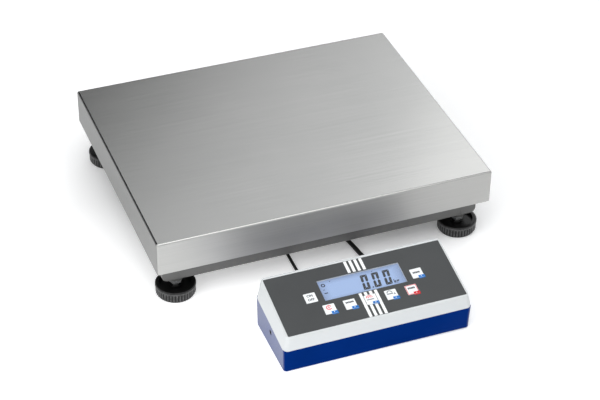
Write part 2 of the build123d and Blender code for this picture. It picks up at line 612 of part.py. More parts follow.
with BuildPart() as housing_screws:
    with BuildSketch(Plane((DX0, DY0, DZ0 + 18))):
        with Locations(*POSTS):
            Circle(2.8)
    extrude(amount=-2.4)
    with BuildSketch(Plane((DX0, DY0, DZ0 + 18))):
        with Locations(*POSTS):
            Circle(1.45)
    extrude(amount=24)
save(housing_screws, "housing_screws")

with BuildPart() as display_feet:
    with BuildSketch(Plane((CX, DY0 + DD / 2, 0))):
        with GridLocations(214, 76, 2, 2):
            Circle(6.0)
    extrude(amount=DZ0)
    chamfer(display_feet.faces().group_by(Axis.Z)[0].edges(), 0.4)
save(display_feet, "display_feet")

# cable gland in the back wall: inner nut, thread, hexagon and tapered nose
GLAND_Y = rear_y(GLAND_Z) + 0.3
GLAND_P = Plane((DX0 + GLAND_X, GLAND_Y, GLAND_Z), x_dir=(1, 0, 0), z_dir=(0, 1, 0))
GLAND_L = 18.0
with BuildPart() as display_cable_gland:
    with BuildSketch(GLAND_P):
        RegularPolygon(8.5, 6, major_radius=False)
    extrude(amount=6)
    with BuildSketch(GLAND_P.offset(6)):
        Circle(7.6)
    extrude(amount=5)
    with BuildSketch(GLAND_P.offset(11)):
        Circle(7.6)
    with BuildSketch(GLAND_P.offset(GLAND_L)):
        Circle(4.6)
    loft()
    with BuildSketch(GLAND_P):
        Circle(5.95)
    extrude(amount=-8)
    with BuildSketch(GLAND_P.offset(-8)):
        RegularPolygon(8.0, 6, major_radius=False)
    extrude(amount=4)
save(display_cable_gland, "display_cable_gland")

JACK_P = Plane((DX0 + JACK_X, rear_y(JACK_Z) + 0.4, JACK_Z), x_dir=(1, 0, 0), z_dir=(0, 1, 0))
with BuildPart() as power_socket:
    with BuildSketch(JACK_P):
        Circle(3.95)
    extrude(amount=-4.2)
    with BuildSketch(JACK_P.offset(-4.2)):
        Rectangle(9, 11)
    extrude(amount=-10)
    with BuildSketch(JACK_P):
        Circle(2.85)
        Circle(1.0, mode=Mode.SUBTRACT)
    extrude(amount=-10, mode=Mode.SUBTRACT)
save(power_socket, "power_socket")

PLUG_L = 20.0
with BuildPart() as power_plug:
    # hollow barrel in the socket, then the moulded body and its tapered relief
    with BuildSketch(JACK_P.offset(0.3)):
        Circle(2.75)
    extrude(amount=-9.0)
    with BuildSketch(JACK_P.offset(0.3)):
        Circle(5.0)
    extrude(amount=PLUG_L)
    fillet(power_plug.faces().sort_by(Axis.Y)[-1].edges(), 1.2)
    with BuildSketch(JACK_P.offset(0.3 + PLUG_L - 0.01)):
        Circle(3.6)
    with BuildSketch(JACK_P.offset(0.3 + PLUG_L + 14)):
        Circle(2.7)
    loft()
    with BuildSketch(JACK_P.offset(-8.8)):
        Circle(1.1)
    extrude(amount=8.6, mode=Mode.SUBTRACT)
save(power_plug, "power_plug")

# threaded brass bushes in both sides, for a wall or stand bracket
BX = side_in(BUSH_Z) + 0.2
with BuildPart() as bracket_bushes:
    for sx, xo in ((1, DX0 + BX), (-1, DX0 + DW - BX)):
        with BuildSketch(Plane((xo, DY0 + BUSH_Y, BUSH_Z), x_dir=(0, 1, 0), z_dir=(1, 0, 0))):
            Circle(3.95)
        extrude(amount=sx * 12)
        with BuildSketch(Plane((xo + sx * 3.3, DY0 + BUSH_Y, BUSH_Z), x_dir=(0, 1, 0), z_dir=(1, 0, 0))):
            Circle(5.5)
        extrude(amount=sx * 1.5)
        with BuildSketch(Plane((xo, DY0 + BUSH_Y, BUSH_Z), x_dir=(0, 1, 0), z_dir=(1, 0, 0))):
            Circle(2.5)
        extrude(amount=sx * 10, mode=Mode.SUBTRACT)
save(bracket_bushes, "bracket_bushes")


# ---------------------------------------------------------------------- cables
def corner_radii(pts):
    """each arc as large as its two runs allow."""
    out = []
    for a, b, c in zip(pts, pts[1:], pts[2:]):
        u, v = Vector(*b) - Vector(*a), Vector(*c) - Vector(*b)
        half = radians(u.get_angle(v)) / 2
        out.append(0.45 * min(u.length, v.length) / tan(half))
    return out


def report_route(name, pts, dia, path, volume):
    rr = corner_radii(pts)
    length = sum(e.length for e in path.edges())
    runs = [(Vector(*b) - Vector(*a)).length for a, b in zip(pts, pts[1:])]
    print(name, "runs", [round(r, 1) for r in runs], "radii", [round(r) for r in rr],
          "length", round(length, 1), "lowest", round(min(p[2] for p in pts) - dia / 2, 2),
          "volume ratio", round(volume / (pi * dia * dia / 4 * length), 4))


# signal cable: out of the display's gland, down to the floor, under the
# platform, into a coil there, and up into the side of the load cell
SIG = [
    (62.0, GLAND_Y + GLAND_L, 25.0), (61.7, -148.0, 24.6), (60.4, -126.0, 14.5), (57.4, -103.0, 5.0),
    (54.8, -72.0, 3.5), (48.0, -36.0, 3.6), (28.0, 0.0, 3.5), (-2.0, 36.0, 3.6), (-32.0, 76.0, 3.5),
    (-52.0, 122.0, 3.6), (-60.0, 166.0, 3.5), (-60.8, 200.0, 3.6),
]
SIG_C = (-17.0, 206.0)
SIG_CR = 37.0
SIG_CH = 2 * SIG_D + 0.2
SIG_TAIL = [
    (20.0, 207.0, 10.2), (21.0, 187.0, 11.4), (21.6, 166.0, 25.0), (22.0, 150.0, 48.0),
    (22.2, 136.0, 68.0), (22.0, BOOT[1] + BOOT_L, 74.0),
]
with BuildPart() as signal_cable:
    with BuildLine() as sig_path:
        FilletPolyline(*SIG, radius=corner_radii(SIG))
    with BuildSketch(Plane(origin=sig_path.line @ 0, z_dir=sig_path.line % 0)):
        Circle(SIG_D / 2)
    sweep()
save(signal_cable, "signal_cable")
report_route("signal_cable", SIG, SIG_D, sig_path.line, signal_cable.part.volume)

with BuildPart() as signal_cable_coil:
    with BuildSketch(Plane((SIG_C[0], SIG_C[1], 0.2))):
        Circle(SIG_CR + 1.5 * SIG_D)
        Circle(SIG_CR - 1.5 * SIG_D, mode=Mode.SUBTRACT)
    extrude(amount=SIG_CH)
    fillet(signal_cable_coil.edges(), 3.0)
save(signal_cable_coil, "signal_cable_coil")

with BuildPart() as signal_cable_tail:
    with BuildLine() as tail_path:
        FilletPolyline(*SIG_TAIL, radius=corner_radii(SIG_TAIL))
    with BuildSketch(Plane(origin=tail_path.line @ 0, z_dir=tail_path.line % 0)):
        Circle(SIG_D / 2)
    sweep()
save(signal_cable_tail, "signal_cable_tail")
report_route("signal_cable_tail", SIG_TAIL, SIG_D, tail_path.line, signal_cable_tail.part.volume)

# low-voltage lead: out of its plug in the display, along the floor, into a
# coil under the platform, and into the plug-in mains adapter that lies there
PLUG_END = JACK_P.origin.Y + 0.3 + PLUG_L + 14
PWR = [
    (-45.0, PLUG_END, JACK_Z), (-44.8, -134.0, 19.6), (-43.6, -118.0, 11.5), (-42.0, -100.0, 3.8),
    (-41.0, -72.0, 2.5), (-40.5, -44.0, 2.6), (-48.0, -16.0, 2.5), (-64.0, 8.0, 2.6), (-77.0, 32.0, 2.5),
    (-80.0, 52.0, 2.6),
]
PWR_C = (-108.0, 54.0)
PWR_CR = 25.5
PWR_CH = 3 * PWR_D + 0.2
ADP = (-176.0, 92.0)                  # middle of the adapter
ADP_W, ADP_D, ADP_H = 64.0, 44.0, 32.0
PWR_TAIL = [
    (-107.0, 54.0 + PWR_CR, 11.5), (-118.0, 80.6, 11.9), (-129.0, 84.6, 14.0), (ADP[0] + ADP_W / 2 + 8, 88.0, 15.6),
]
with BuildPart() as power_lead:
    with BuildLine() as pwr_path:
        FilletPolyline(*PWR, radius=corner_radii(PWR))
    with BuildSketch(Plane(origin=pwr_path.line @ 0, z_dir=pwr_path.line % 0)):
        Circle(PWR_D / 2)
    sweep()
save(power_lead, "power_lead")
report_route("power_lead", PWR, PWR_D, pwr_path.line, power_lead.part.volume)

with BuildPart() as power_lead_coil:
    with BuildSketch(Plane((PWR_C[0], PWR_C[1], 0.2))):
        Circle(PWR_CR + 1.5 * PWR_D)
        Circle(PWR_CR - 1.5 * PWR_D, mode=Mode.SUBTRACT)
    extrude(amount=PWR_CH)
    fillet(power_lead_coil.edges(), 2.2)
save(power_lead_coil, "power_lead_coil")

with BuildPart() as power_lead_tail:
    with BuildLine() as pt_path:
        FilletPolyline(*PWR_TAIL, radius=corner_radii(PWR_TAIL))
    with BuildSketch(Plane(origin=pt_path.line @ 0, z_dir=pt_path.line % 0)):
        Circle(PWR_D / 2)
    sweep()
save(power_lead_tail, "power_lead_tail")
report_route("power_lead_tail", PWR_TAIL, PWR_D, pt_path.line, power_lead_tail.part.volume)

with BuildPart() as power_adapter:
    with BuildSketch(Plane((ADP[0], ADP[1], 0))):
        RectangleRounded(ADP_W, ADP_D, 5)
    extrude(amount=ADP_H)
    fillet(power_adapter.faces().filter_by(Axis.Z).edges(), 2.5)
    # strain relief
    with BuildSketch(Plane((ADP[0] + ADP_W / 2 - 0.5, 88.0, 15.6), x_dir=(0, 1, 0), z_dir=(1, 0, 0))):
        Circle(4.2)
    with BuildSketch(Plane((ADP[0] + ADP_W / 2 + 8, 88.0, 15.6), x_dir=(0, 1, 0), z_dir=(1, 0, 0))):
        Circle(2.9)
    loft()
save(power_adapter, "power_adapter")

with BuildPart() as adapter_pins:
    with BuildSketch(Plane((ADP[0] - 14, ADP[1] + ADP_D / 2, ADP_H / 2), x_dir=(1, 0, 0), z_dir=(0, 1, 0))):
        with Locations((-9.5, 0), (9.5, 0)):
            Circle(2.0)
    extrude(amount=19)
    fillet(adapter_pins.faces().sort_by(Axis.Y)[-2:].edges(), 1.2)
save(adapter_pins, "adapter_pins")
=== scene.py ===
import bpy
import bmesh
from math import sin, cos, tan, atan, radians, pi, sqrt
from mathutils import Vector, Matrix


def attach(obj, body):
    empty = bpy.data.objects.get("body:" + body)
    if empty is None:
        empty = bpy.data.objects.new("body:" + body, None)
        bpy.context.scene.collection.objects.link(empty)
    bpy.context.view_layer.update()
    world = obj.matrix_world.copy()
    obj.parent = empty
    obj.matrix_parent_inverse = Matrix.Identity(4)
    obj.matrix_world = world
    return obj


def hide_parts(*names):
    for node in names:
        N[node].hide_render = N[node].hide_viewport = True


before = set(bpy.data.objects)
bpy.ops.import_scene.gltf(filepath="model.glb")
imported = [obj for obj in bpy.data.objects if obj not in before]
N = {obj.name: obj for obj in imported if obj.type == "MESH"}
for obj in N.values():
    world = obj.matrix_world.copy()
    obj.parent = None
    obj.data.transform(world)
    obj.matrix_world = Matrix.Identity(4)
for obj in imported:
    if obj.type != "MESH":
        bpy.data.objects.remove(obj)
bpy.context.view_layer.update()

scene = bpy.context.scene
MM = 0.001

# ------------------------------------------------------------------ dimensions
PLATE_CY = 90.6
FOOT_X, FOOT_DY = 215.5, 168.6
FEET = {"fl": (-FOOT_X, PLATE_CY - FOOT_DY), "fr": (FOOT_X, PLATE_CY - FOOT_DY),
        "bl": (-FOOT_X, PLATE_CY + FOOT_DY), "br": (FOOT_X, PLATE_CY + FOOT_DY)}
DX0, DY0, DW, DD = -133.8, -290.6, 272.5, 110.0
TOP_Z, TOP_M = 58.22, 0.2048
TA = atan(TOP_M)
SPLIT_Z, SPLIT_M = 36.9, 0.1146
FOIL = (7.2, 265.0, 3.9, 104.4)
LCD = (76.2, 195.8, 47.1, 82.7)
KEY_W, KEY_D = 16.5, 16.0
KEYS = [(58.6, 57.3), (77.0, 32.4), (106.3, 32.4), (136.4, 32.4),
        (166.0, 32.4), (196.0, 32.4), (213.5, 57.3)]
FOIL_T, KEY_T, LCD_T = 0.1, 0.3, -3.1


def on_face(x, s, t=0.0):
    """A point of the sloping keypad face, from millimetres along and above it."""
    return Vector(((DX0 + x) * MM, (DY0 + s * cos(TA) - t * sin(TA)) * MM,
                   (TOP_Z + s * sin(TA) + t * cos(TA)) * MM))


# ---------------------------------------------------------------------- camera
def add_camera():
    f_px, yaw, pitch, roll = 1858.37, -0.37440, 0.64323, 0.01631
    at = Vector((-0.7879, -2.0040, 1.6631))
    fwd = Vector((-sin(yaw) * cos(pitch), cos(yaw) * cos(pitch), -sin(pitch)))
    right = Vector((cos(yaw), sin(yaw), 0.0))
    up = right.cross(fwd)
    r2 = cos(roll) * right + sin(roll) * up
    u2 = -sin(roll) * right + cos(roll) * up
    cam = bpy.data.cameras.new("camera")
    cam.sensor_width = 36.0
    cam.lens = f_px * 36.0 / 600.0
    cam.clip_start, cam.clip_end = 0.05, 60.0
    obj = bpy.data.objects.new("camera", cam)
    obj.matrix_world = Matrix((
        (r2.x, u2.x, -fwd.x, at.x), (r2.y, u2.y, -fwd.y, at.y),
        (r2.z, u2.z, -fwd.z, at.z), (0, 0, 0, 1)))
    scene.collection.objects.link(obj)
    scene.camera = obj


add_camera()


# ------------------------------------------------------------------- materials
class Mat:
    """A node material with one Principled shader and a few short helpers."""

    def __init__(self, name, color=(0.5, 0.5, 0.5), rough=0.5, metal=0.0, **sockets):
        self.mat = bpy.data.materials.new(name)
        self.mat.use_nodes = True
        self.t = self.mat.node_tree
        self.t.nodes.clear()
        self.out = self.t.nodes.new("ShaderNodeOutputMaterial")
        self.b = self.t.nodes.new("ShaderNodeBsdfPrincipled")
        self.link(self.b.outputs[0], self.out.inputs["Surface"])
        self.b.inputs["Base Color"].default_value = (*color, 1)
        self.b.inputs["Roughness"].default_value = rough
        self.b.inputs["Metallic"].default_value = metal
        for k, v in sockets.items():
            k = k.replace("_", " ")
            self.b.inputs[k].default_value = v
        self.obj = self.t.nodes.new("ShaderNodeTexCoord").outputs["Object"]
        self.heights = []

    def link(self, a, b):
        self.t.links.new(a, b)

    def stretched(self, scale):
        m = self.t.nodes.new("ShaderNodeMapping")
        m.inputs["Scale"].default_value = scale
        self.link(self.obj, m.inputs["Vector"])
        return m.outputs[0]

    def noise(self, scale, detail=3.0, rough=0.55, stretch=None, distort=0.0):
        n = self.t.nodes.new("ShaderNodeTexNoise")
        n.inputs["Scale"].default_value = scale
        n.inputs["Detail"].default_value = detail
        n.inputs["Roughness"].default_value = rough
        n.inputs["Distortion"].default_value = distort
        self.link(self.stretched(stretch) if stretch else self.obj, n.inputs["Vector"])
        return n.outputs["Fac"]

    def voronoi(self, scale, stretch=None):
        n = self.t.nodes.new("ShaderNodeTexVoronoi")
        n.inputs["Scale"].default_value = scale
        self.link(self.stretched(stretch) if stretch else self.obj, n.inputs["Vector"])
        return n.outputs["Distance"]

    def maprange(self, value, lo, hi, a, b):
        n = self.t.nodes.new("ShaderNodeMapRange")
        for k, v in zip(("From Min", "From Max", "To Min", "To Max"), (lo, hi, a, b)):
            n.inputs[k].default_value = v
        self.link(value, n.inputs["Value"])
        return n.outputs[0]

    def math(self, op, a, b=None):
        n = self.t.nodes.new("ShaderNodeMath")
        n.operation = op
        for i, v in enumerate((a, b)):
            if v is None:
                continue
            if isinstance(v, (int, float)):
                n.inputs[i].default_value = v
            else:
                self.link(v, n.inputs[i])
        return n.outputs[0]

    def xyz(self, vector=None):
        n = self.t.nodes.new("ShaderNodeSeparateXYZ")
        self.link(vector or self.obj, n.inputs[0])
        return n.outputs

    def ramp(self, value, *stops):
        n = self.t.nodes.new("ShaderNodeValToRGB")
        e = n.color_ramp.elements
        while len(e) < len(stops):
            e.new(0.5)
        for el, (p, c) in zip(e, stops):
            el.position = p
            el.color = (*c, 1)
        self.link(value, n.inputs[0])
        return n.outputs[0]

    def mixf(self, fac, a, b):
        n = self.t.nodes.new("ShaderNodeMix")
        n.data_type = "FLOAT"
        self.link(fac, n.inputs[0])
        self.link(a, n.inputs[2])
        self.link(b, n.inputs[3])
        return n.outputs[0]

    def mixc(self, fac, a, b, mode="MIX"):
        n = self.t.nodes.new("ShaderNodeMix")
        n.data_type = "RGBA"
        n.blend_type = mode
        for v, k in ((fac, 0), (a, 6), (b, 7)):
            if isinstance(v, (int, float)):
                n.inputs[k].default_value = v
            elif isinstance(v, tuple):
                n.inputs[k].default_value = (*v, 1)
            else:
                self.link(v, n.inputs[k])
        return n.outputs[2]

    def color(self, value):
        self.link(value, self.b.inputs["Base Color"])
        return self

    def rough(self, value):
        self.link(value, self.b.inputs["Roughness"])
        return self

    def bump(self, height, distance, strength=1.0):
        n = self.t.nodes.new("ShaderNodeBump")
        n.inputs["Strength"].default_value = strength
        n.inputs["Distance"].default_value = distance
        self.link(height, n.inputs["Height"])
        if self.heights:
            self.link(self.heights[-1], n.inputs["Normal"])
        self.heights.append(n.outputs[0])
        self.link(n.outputs[0], self.b.inputs["Normal"])
        return self


def srgb(h):
    """A hex colour as the three linear numbers that shaders take."""
    out = []
    for i in (0, 2, 4):
        c = int(h[i:i + 2], 16) / 255.0
        out.append(c / 12.92 if c <= 0.04045 else ((c + 0.055) / 1.055) ** 2.4)
    return tuple(out)


def brushed_steel():
    """Brushed sheet, folded: the grain runs along x on top and turns down the left and right skirts, whose colour is
    darker there as painted shade.
    """
    m = Mat("stainless_brushed", rough=0.3, metal=1.0)
    across_x = m.noise(1.0, 4.0, 0.6, stretch=(5.0, 1400.0, 1400.0))
    down_z = m.noise(1.0, 4.0, 0.6, stretch=(1400.0, 1400.0, 5.0))
    geo = m.t.nodes.new("ShaderNodeNewGeometry").outputs["Normal"]
    side_grain_and_shade = m.maprange(m.math("ABSOLUTE", m.xyz(geo)[0]), 0.60, 0.80, 0.0, 1.0)
    grain = m.mixf(side_grain_and_shade, across_x, down_z)
    cloud = m.noise(5.0, 3.0, 0.5)
    top = m.mixc(m.maprange(grain, 0.3, 0.7, 0.0, 1.0),
                 m.ramp(cloud, (0.3, srgb("acacaa")), (0.7, srgb("b2b2b0"))),
                 m.ramp(cloud, (0.3, srgb("b8b8b6")), (0.7, srgb("bebdbb"))))
    # the left and right skirts take a darker colour than the top: painted shade
    flank_painted_shade = m.mixc(m.maprange(grain, 0.3, 0.7, 0.0, 1.0), srgb("8e8e8d"), srgb("999998"))
    m.color(m.mixc(side_grain_and_shade, top, flank_painted_shade))
    flat = m.maprange(m.xyz(geo)[2], 0.55, 0.92, 0.0, 1.0)
    fine = m.maprange(grain, 0.25, 0.75, -0.03, 0.03)
    m.rough(m.math("ADD", fine, m.math("SUBTRACT", 0.52, m.math("MULTIPLY", flat, 0.32))))
    m.bump(grain, 0.000010, 0.5)
    run = m.t.nodes.new("ShaderNodeMix")
    run.data_type = "VECTOR"
    m.link(side_grain_and_shade, run.inputs[0])
    run.inputs[4].default_value = (1.0, 0.0, 0.0)
    run.inputs[5].default_value = (0.0, 0.0, 1.0)
    cross = m.t.nodes.new("ShaderNodeVectorMath")
    cross.operation = "CROSS_PRODUCT"
    m.link(geo, cross.inputs[0])
    m.link(run.outputs[1], cross.inputs[1])
    m.link(cross.outputs[0], m.b.inputs["Tangent"])
    m.link(m.math("MULTIPLY", flat, 0.35), m.b.inputs["Anisotropic"])
    return m.mat


def plain_metal(name, color, rough, grain_scale=900.0, depth=0.00001):
    m = Mat(name, rough=rough, metal=1.0)
    g = m.noise(grain_scale, 3.0)
    lo = tuple(c * 0.86 for c in color)
    hi = tuple(min(1.0, c * 1.1) for c in color)
    m.color(m.ramp(g, (0.3, lo), (0.7, hi)))
    m.rough(m.maprange(m.noise(60.0, 2.0), 0.3, 0.7, rough - 0.06, rough + 0.08))
    m.bump(g, depth, 0.6)
    return m.mat


def turned_metal(name, color, rough):
    """Zinc-plated steel with a fine turned or rolled grain."""
    m = Mat(name, rough=rough, metal=1.0)
    g = m.noise(1.0, 3.0, stretch=(500.0, 500.0, 2500.0))
    c2 = m.noise(120.0, 3.0)
    m.color(m.mixc(m.maprange(c2, 0.35, 0.65, 0.0, 1.0),
                   tuple(c * 0.88 for c in color), tuple(min(1, c * 1.08) for c in color)))
    m.rough(m.maprange(g, 0.3, 0.7, rough - 0.07, rough + 0.1))
    m.bump(g, 0.00002, 0.5)
    return m.mat


def frame_paint():
    m = Mat("frame_powder_coat", rough=0.36, Specular_IOR_Level=0.9)
    peel = m.noise(420.0, 3.0, 0.5)
    spots = m.noise(2200.0, 2.0, 0.5)
    tone = m.noise(14.0, 3.0)
    m.color(m.ramp(tone, (0.3, srgb("424240")), (0.7, srgb("494947"))))
    m.rough(m.maprange(spots, 0.3, 0.7, 0.31, 0.43))
    m.bump(peel, 0.00018, 0.35)
    m.bump(spots, 0.00004, 0.3)
    return m.mat


def moulded(name, color, rough, spark=2600.0, depth=0.00002, tone=0.06, wave=0.0, **sockets):
    """Moulded plastic: a fine eroded texture, faint flow clouds and soft gloss changes."""
    m = Mat(name, rough=rough, **sockets)
    fine = m.noise(spark, 2.0, 0.6)
    cloud = m.noise(18.0, 3.0, 0.5)
    lo = tuple(c * (1 - tone) for c in color)
    hi = tuple(min(1.0, c * (1 + tone)) for c in color)
    m.color(m.ramp(cloud, (0.3, lo), (0.7, hi)))
    m.rough(m.maprange(fine, 0.3, 0.7, rough - 0.05, rough + 0.07))
    m.bump(fine, depth, 0.5)
    if wave:
        m.bump(m.noise(38.0, 2.0), wave, 0.3)
    return m.mat


def blue_shell():
    """Blue moulded shell: deep when faced, with a pale gloss where it is seen at a slant."""
    m = Mat("blue_shell", rough=0.3)
    fine = m.noise(2200.0, 2.0, 0.6)
    cloud = m.noise(18.0, 3.0, 0.5)
    m.color(m.ramp(cloud, (0.3, srgb("032668")), (0.7, srgb("04296f"))))
    m.rough(m.maprange(fine, 0.3, 0.7, 0.27, 0.37))
    slant = m.t.nodes.new("ShaderNodeLayerWeight").outputs["Facing"]
    m.link(m.maprange(slant, 0.34, 0.66, 0.0, 0.72), m.b.inputs["Specular IOR Level"])
    m.b.inputs["Specular Tint"].default_value = (0.74, 0.86, 1.0, 1.0)
    m.bump(fine, 0.00003, 0.5)
    return m.mat


def foil_material():
    m = Mat("keypad_foil_print", rough=0.42, Specular_IOR_Level=0.4)
    fine = m.noise(3800.0, 2.0, 0.6)
    cloud = m.noise(9.0, 3.0)
    m.color(m.ramp(cloud, (0.3, srgb("3b3d3e")), (0.7, srgb("414344"))))
    m.rough(m.maprange(fine, 0.3, 0.7, 0.36, 0.5))
    m.bump(fine, 0.000015, 0.5)
    return m.mat


def lcd_material():
    """Lit liquid-crystal panel: brighter in the middle, its glow darkened towards the edges as painted shade of the
    recess, with a fine pixel weave.
    """
    m = Mat("lcd_lit", color=srgb("5d6f8f"), rough=0.3)
    x, y, z = m.xyz()
    cx = (DX0 + (LCD[0] + LCD[1]) / 2) * MM
    cy = on_face(0, (LCD[2] + LCD[3]) / 2).y
    u = m.math("ABSOLUTE", m.math("SUBTRACT", x, cx))
    v = m.math("ABSOLUTE", m.math("SUBTRACT", y, cy))
    hw, hh = (LCD[1] - LCD[0]) / 2 * MM, (LCD[3] - LCD[2]) / 2 * MM * cos(TA)
    # darker glow colour near the panel's edges: painted shade of the recess round the window
    recess_shade_u = m.maprange(u, hw - 0.014, hw - 0.001, 0.0, 1.0)
    recess_shade_v = m.maprange(v, hh - 0.007, hh, 0.0, 1.0)
    recess_painted_shade = m.math("MAXIMUM", recess_shade_u, recess_shade_v)
    cells = m.noise(700.0, 1.0)
    tone = m.mixc(recess_painted_shade, srgb("a9c2ea"), srgb("8494b4"))
    tone = m.mixc(m.maprange(cells, 0.4, 0.6, 0.0, 0.05), tone, srgb("c2d2ee"))
    m.link(tone, m.b.inputs["Emission Color"])
    m.b.inputs["Emission Strength"].default_value = 0.56
    m.bump(cells, 0.000004, 0.3)
    return m.mat


def window_material():
    m = Mat("display_window_clear", color=(0.72, 0.78, 0.86), rough=0.08, Alpha=0.035)
    m.rough(m.maprange(m.noise(40.0, 3.0), 0.3, 0.7, 0.05, 0.11))
    m.mat.surface_render_method = "BLENDED"
    return m.mat


def ink(name, color, rough=0.45):
    """Screen-printed ink: slightly uneven cover and a faint mesh of the screen."""
    m = Mat(name, rough=rough, Specular_IOR_Level=0.35)
    cover = m.noise(900.0, 3.0, 0.6)
    m.color(m.ramp(cover, (0.25, tuple(c * 0.9 for c in color)), (0.75, tuple(min(1, c * 1.05) for c in color))))
    m.rough(m.maprange(m.noise(3000.0, 2.0), 0.3, 0.7, rough - 0.06, rough + 0.08))
    m.bump(cover, 0.00001, 0.4)
    return m.mat


def knob_material(tag):
    """Black knurled plastic, paler on the crests of the grip and the rim as painted highlight, broken up by noise."""
    m = Mat("knob_black_" + tag, rough=0.34, Specular_IOR_Level=0.3)
    x, y, z = m.xyz()
    dx = m.math("SUBTRACT", x, FEET[tag][0] * MM)
    dy = m.math("SUBTRACT", y, FEET[tag][1] * MM)
    r = m.math("SQRT", m.math("ADD", m.math("MULTIPLY", dx, dx), m.math("MULTIPLY", dy, dy)))
    # pale grey on the outer crests and rim: painted highlight, patchy with noise
    crest_highlight = m.maprange(r, 0.0274, 0.0283, 0.0, 1.0)
    highlight_breakup = m.maprange(m.noise(260.0, 3.0, 0.6), 0.35, 0.7, 0.35, 1.0)
    fac = m.math("MULTIPLY", crest_highlight, highlight_breakup)
    m.color(m.mixc(fac, m.ramp(m.noise(700.0, 2.0), (0.3, srgb("060606")), (0.7, srgb("0b0b0b"))), srgb("5c5c5c")))
    m.rough(m.maprange(m.noise(1800.0, 2.0), 0.3, 0.7, 0.28, 0.42))
    m.bump(m.noise(1500.0, 2.0), 0.00004, 0.5)
    return m.mat


def cable_material():
    """Soft PVC jacket: matt, with faint long flow marks and dust-fine grain."""
    m = Mat("cable_jacket", rough=0.55, Specular_IOR_Level=0.4)
    g = m.noise(1800.0, 2.0)
    c = m.noise(45.0, 3.0)
    m.color(m.ramp(c, (0.3, srgb("171717")), (0.7, srgb("222221"))))
    m.rough(m.maprange(g, 0.3, 0.7, 0.46, 0.62))
    m.bump(g, 0.00004, 0.4)
    return m.mat


def board_material():
    m = Mat("circuit_board", rough=0.4)
    v = m.voronoi(260.0)
    m.color(m.ramp(v, (0.0, srgb("0f4a2a")), (0.35, srgb("1a6a3c")), (0.4, srgb("14582f"))))
    m.bump(v, 0.00006, 0.4)
    return m.mat


M = {
    "steel": brushed_steel(),
    "paint": frame_paint(),
    "zinc": turned_metal("zinc_plated", srgb("b9bab8"), 0.34),
    "alu": plain_metal("cell_aluminium", srgb("c6c8ca"), 0.38),
    "rubber": moulded("black_rubber", srgb("1b1b1b"), 0.78, 1400.0, 0.00008, 0.12),
    "black": moulded("black_plastic", srgb("101010"), 0.36, 1500.0, 0.00004, 0.10, Specular_IOR_Level=0.3),
    "bush": plain_metal("blackened_bush", srgb("33353a"), 0.42),
    "nut": moulded("zinc_dull", srgb("8f9090"), 0.42, 900.0, 0.00003, 0.08, Metallic=0.45),
    "white": moulded("white_shell", srgb("ced1d2"), 0.45, 2200.0, 0.00003, 0.012, Specular_IOR_Level=0.35),
    "blue": blue_shell(),
    "foil": foil_material(),
    "window": window_material(),
    "lcd": lcd_material(),
    "light": moulded("backlight_diffuser", srgb("dfe6f2"), 0.5),
    "board": board_material(),
    "key": moulded("key_white", srgb("eef1f2"), 0.45, 3000.0, 0.00002, 0.01),
    "dome": plain_metal("snap_dome", srgb("cfcfcf"), 0.3),
    "battery": moulded("battery_wrap", srgb("3a4f6b"), 0.35, 1500.0),
    "brass": plain_metal("brass_bush", srgb("c9a44c"), 0.33),
    "vial": moulded("vial_acrylic", srgb("cfe08a"), 0.12, 900.0, 0.000005, 0.04),
    "cable": cable_material(),
    "nickel": plain_metal("nickel_plate", srgb("cccac4"), 0.25),
    "ink_white": ink("print_white", srgb("f4f6f6")),
    "ink_blue": ink("print_blue", srgb("1272c4")),
    "ink_red": ink("print_red", srgb("d01321")),
    "ink_pink": ink("print_red_light", srgb("e9616b")),
    "ink_dark": ink("print_dark", srgb("3c4048")),
    "ink_grey": ink("print_grey", srgb("8b9096")),
    "segment": ink("lcd_segment", srgb("05070c"), 0.6),
    "segment_soft": ink("lcd_segment_small", srgb("101c38"), 0.6),
}


def dress(obj, mat):
    obj.data.materials.clear()
    obj.data.materials.append(mat)


LOOK = {
    "weighing_plate": "steel", "base_frame": "paint", "top_frame": "paint",
    "foot_lock_nuts": "nut", "lower_cell_spacer": "zinc", "upper_cell_spacer": "zinc",
    "lower_cell_screws": "zinc", "upper_cell_screws": "zinc",
    "overload_stop_screws": "zinc", "overload_stop_nuts": "zinc",
    "load_cell": "alu", "cell_cable_boot": "rubber", "plate_buffers": "rubber",
    "level_housing": "black", "level_vial": "vial",
    "display_base": "blue", "display_cover": "white", "keypad_foil": "foil",
    "lcd_window": "window", "lcd_panel": "lcd", "lcd_backlight": "light",
    "main_board": "board", "board_screws": "zinc", "key_domes": "dome",
    "battery_pack": "battery", "battery_cover": "blue", "housing_screws": "zinc",
    "display_feet": "rubber", "display_cable_gland": "black", "power_socket": "nickel",
    "power_plug": "black", "bracket_bushes": "bush", "power_adapter": "black",
    "adapter_pins": "nickel", "signal_cable": "cable", "signal_cable_coil": "cable",
    "signal_cable_tail": "cable", "power_lead": "cable", "power_lead_coil": "cable",
    "power_lead_tail": "cable",
}
for tag in FEET:
    M["knob_" + tag] = knob_material(tag)
    LOOK["foot_sole_" + tag] = "rubber"
    LOOK["foot_knob_" + tag] = "knob_" + tag
    LOOK["foot_stud_" + tag] = "zinc"
for i in range(7):
    LOOK["key_%d" % (i + 1)] = "key"
for name, obj in N.items():
    dress(obj, M[LOOK[name]])


# ----------------------------------------------------------------------- cords
def nurbs(name, pts_mm, dia_mm, mat):
    cu = bpy.data.curves.new(name, "CURVE")
    cu.dimensions = "3D"
    cu.bevel_depth = dia_mm / 2 * MM
    cu.bevel_resolution = 5
    cu.resolution_u = 10
    cu.use_fill_caps = True
    sp = cu.splines.new("NURBS")
    sp.points.add(len(pts_mm) - 1)
    for p, (x, y, z) in zip(sp.points, pts_mm):
        p.co = (x * MM, y * MM, z * MM, 1.0)
    sp.order_u = 3
    sp.use_endpoint_u = True
    cu.materials.append(mat)
    obj = bpy.data.objects.new(name, cu)
    scene.collection.objects.link(obj)
    return obj


def ease(a, a0, a1):
    t = min(1.0, max(0.0, (a - a0) / (a1 - a0)))
    return t * t * (3 - 2 * t)


